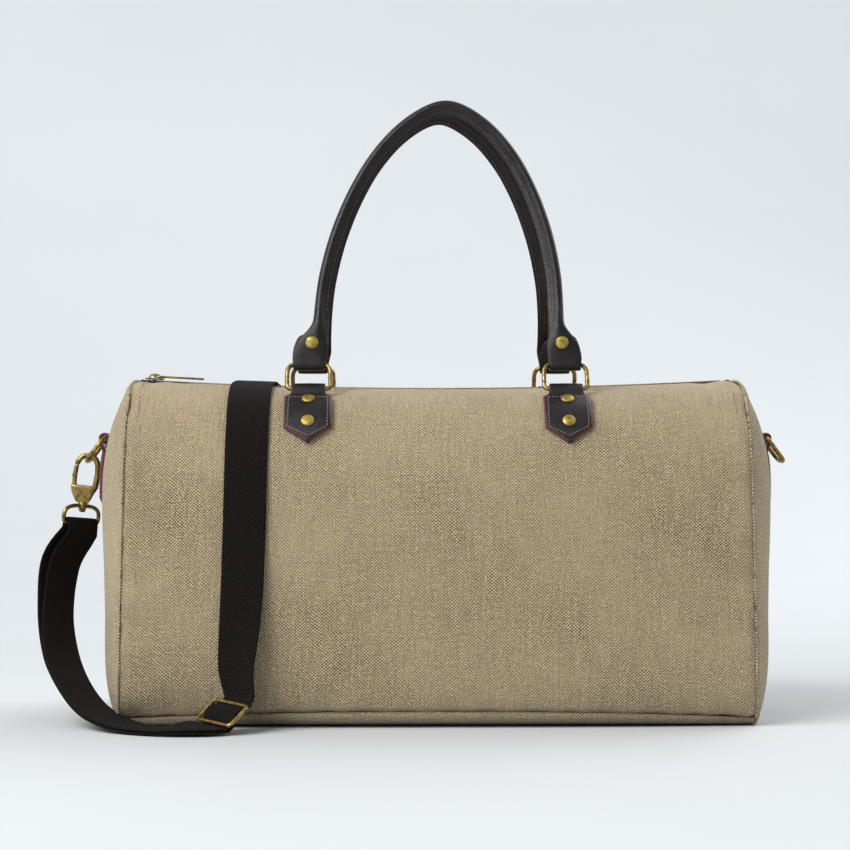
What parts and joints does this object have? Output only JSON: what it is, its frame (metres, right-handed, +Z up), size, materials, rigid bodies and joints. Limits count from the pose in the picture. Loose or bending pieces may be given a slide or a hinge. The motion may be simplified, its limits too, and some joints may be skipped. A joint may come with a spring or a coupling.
{
  "type": "duffel bag",
  "caption": "Canvas weekender duffel bag with leather handles on brass rings, a top zip, and a clipped webbing shoulder strap.",
  "frame": {"origin": "centre of the flat base, on the floor", "axes": "+Z up, +X along the bag to the end whose ring is free, -Y the front"},
  "size_m": [0.5852, 0.3514, 0.481],
  "materials": {
    "canvas": "washed cotton canvas, khaki tan",
    "lining": "plain woven cotton, dull tan",
    "board": "stiff bag-base board, brown",
    "leather": "dark brown semi-gloss leather",
    "webbing": "dark brown cotton webbing",
    "tape": "dark brown woven zip tape",
    "rivet_brass": "golden antique brass, satin",
    "antique_brass": "darkened antique brass"
  },
  "bodies": {
    "bag": {"back_panel": "canvas", "base_board": "board", "base_panel": "canvas", "end_panel_left": "canvas", "end_panel_right": "canvas", "front_panel": "canvas", "handle_tab_back_left": "leather", "handle_tab_back_right": "leather", "handle_tab_front_left": "leather", "handle_tab_front_right": "leather", "lining": "lining", "shoulder_strap": "webbing", "side_tab_left": "leather", "side_tab_right": "leather", "strap_slider": "antique_brass", "tab_rivet_back_left_lower": "rivet_brass", "tab_rivet_back_left_upper": "rivet_brass", "tab_rivet_back_right_lower": "rivet_brass", "tab_rivet_back_right_upper": "rivet_brass", "tab_rivet_front_left_lower": "rivet_brass", "tab_rivet_front_left_upper": "rivet_brass", "tab_rivet_front_right_lower": "rivet_brass", "tab_rivet_front_right_upper": "rivet_brass", "zip_stop_left": "antique_brass", "zip_stop_right": "antique_brass", "zip_tape_back": "tape", "zip_tape_front": "tape", "zip_teeth_back": "antique_brass", "zip_teeth_front": "antique_brass"},
    "zip_slider": {"zip_slider": "antique_brass"},
    "zip_pull": {"zip_pull": "antique_brass"},
    "ring_front_left": {"handle_ring_front_left": "antique_brass"},
    "ring_front_right": {"handle_ring_front_right": "antique_brass"},
    "ring_back_left": {"handle_ring_back_left": "antique_brass"},
    "ring_back_right": {"handle_ring_back_right": "antique_brass"},
    "handle_front": {"handle_front": "leather", "handle_rivet_front_left": "rivet_brass", "handle_rivet_front_right": "rivet_brass"},
    "handle_back": {"handle_back": "leather", "handle_rivet_back_left": "rivet_brass", "handle_rivet_back_right": "rivet_brass"},
    "side_ring_left": {"side_ring_left": "antique_brass"},
    "side_ring_right": {"side_ring_right": "antique_brass"},
    "strap_eye_left": {"strap_eye_left": "antique_brass"},
    "snap_hook_left": {"snap_hook_left": "antique_brass"},
    "hook_gate_left": {"hook_gate_left": "antique_brass"},
    "strap_eye_right": {"strap_eye_right": "antique_brass"},
    "snap_hook_right": {"snap_hook_right": "antique_brass"},
    "hook_gate_right": {"hook_gate_right": "antique_brass"}
  },
  "joints": [
    {"name": "zip_slide", "type": "hinge", "parent": "bag", "child": "zip_slider", "pos_m": [0, 0, 4.31782], "axis": [0, -1, 0], "range_deg": [0, 6.2]},
    {"name": "zip_pull_flip", "type": "hinge", "parent": "zip_slider", "child": "zip_pull", "pos_m": [-0.2209, 0, 0.26416], "axis": [0, -1, 0], "range_deg": [0, 165]},
    {"name": "ring_front_left_swing", "type": "hinge", "parent": "bag", "child": "ring_front_left", "pos_m": [-0.098, -0.07268, 0.25353], "axis": [1, 0, 0], "range_deg": [0, 125]},
    {"name": "ring_front_right_swing", "type": "hinge", "parent": "bag", "child": "ring_front_right", "pos_m": [0.098, -0.07268, 0.25353], "axis": [1, 0, 0], "range_deg": [0, 125]},
    {"name": "handle_front_swing", "type": "hinge", "parent": "ring_front_left", "child": "handle_front", "pos_m": [0, -0.06143, 0.27302], "axis": [1, 0, 0], "range_deg": [0, 16]},
    {"name": "ring_back_left_swing", "type": "hinge", "parent": "bag", "child": "ring_back_left", "pos_m": [-0.098, 0.07268, 0.25353], "axis": [-1, 0, 0], "range_deg": [0, 125]},
    {"name": "ring_back_right_swing", "type": "hinge", "parent": "bag", "child": "ring_back_right", "pos_m": [0.098, 0.07268, 0.25353], "axis": [-1, 0, 0], "range_deg": [0, 125]},
    {"name": "handle_back_swing", "type": "hinge", "parent": "ring_back_left", "child": "handle_back", "pos_m": [0, 0.06143, 0.27302], "axis": [-1, 0, 0], "range_deg": [0, 16]},
    {"name": "side_ring_right_swing", "type": "hinge", "parent": "bag", "child": "side_ring_right", "pos_m": [0.25966, 0, 0.21563], "axis": [0, -1, 0], "range_deg": [0, 130]},
    {"name": "hook_left_lift", "type": "hinge", "parent": "bag", "child": "strap_eye_left", "pos_m": [-0.25966, 0, 0.21563], "axis": [0, 1, 0], "range_deg": [0, 18], "deforming": ["shoulder_strap"]},
    {"name": "side_ring_left_lift", "type": "hinge", "parent": "bag", "child": "side_ring_left", "pos_m": [-0.25966, 0, 0.21563], "axis": [0, 1, 0], "range_deg": [0, 18]},
    {"name": "hook_left_swivel", "type": "hinge", "parent": "strap_eye_left", "child": "snap_hook_left", "pos_m": [-0.27753, 0, 0.16247], "axis": [0.1219, 0, 0.9925], "range_deg": [-15, 15]},
    {"name": "hook_left_gate", "type": "hinge", "parent": "snap_hook_left", "child": "hook_gate_left", "pos_m": [-0.28224, 0, 0.17988], "axis": [0, 1, 0], "range_deg": [0, 22], "stiffness_Nm_per_rad": 0.05, "springref_deg": -2.86},
    {"name": "hook_right_swing", "type": "hinge", "parent": "bag", "child": "strap_eye_right", "pos_m": [0.018, 0.176, 0.021], "axis": [0.1219, 0, 0.9925], "range_deg": [-50, 50]},
    {"name": "hook_right_swivel", "type": "hinge", "parent": "strap_eye_right", "child": "snap_hook_right", "pos_m": [0.0312, 0.176, 0.01938], "axis": [0.9925, 0, -0.1219], "continuous": true},
    {"name": "hook_right_gate", "type": "hinge", "parent": "snap_hook_right", "child": "hook_gate_right", "pos_m": [0.04861, 0.176, 0.02409], "axis": [0, 1, 0], "range_deg": [0, 22], "stiffness_Nm_per_rad": 0.05, "springref_deg": -2.86}
  ],
  "couplings": [
    {"joint": "ring_front_right_swing", "follows": "ring_front_left_swing", "ratio": 1},
    {"joint": "ring_back_right_swing", "follows": "ring_back_left_swing", "ratio": 1},
    {"joint": "side_ring_left_lift", "follows": "hook_left_lift", "ratio": 1}
  ]
}
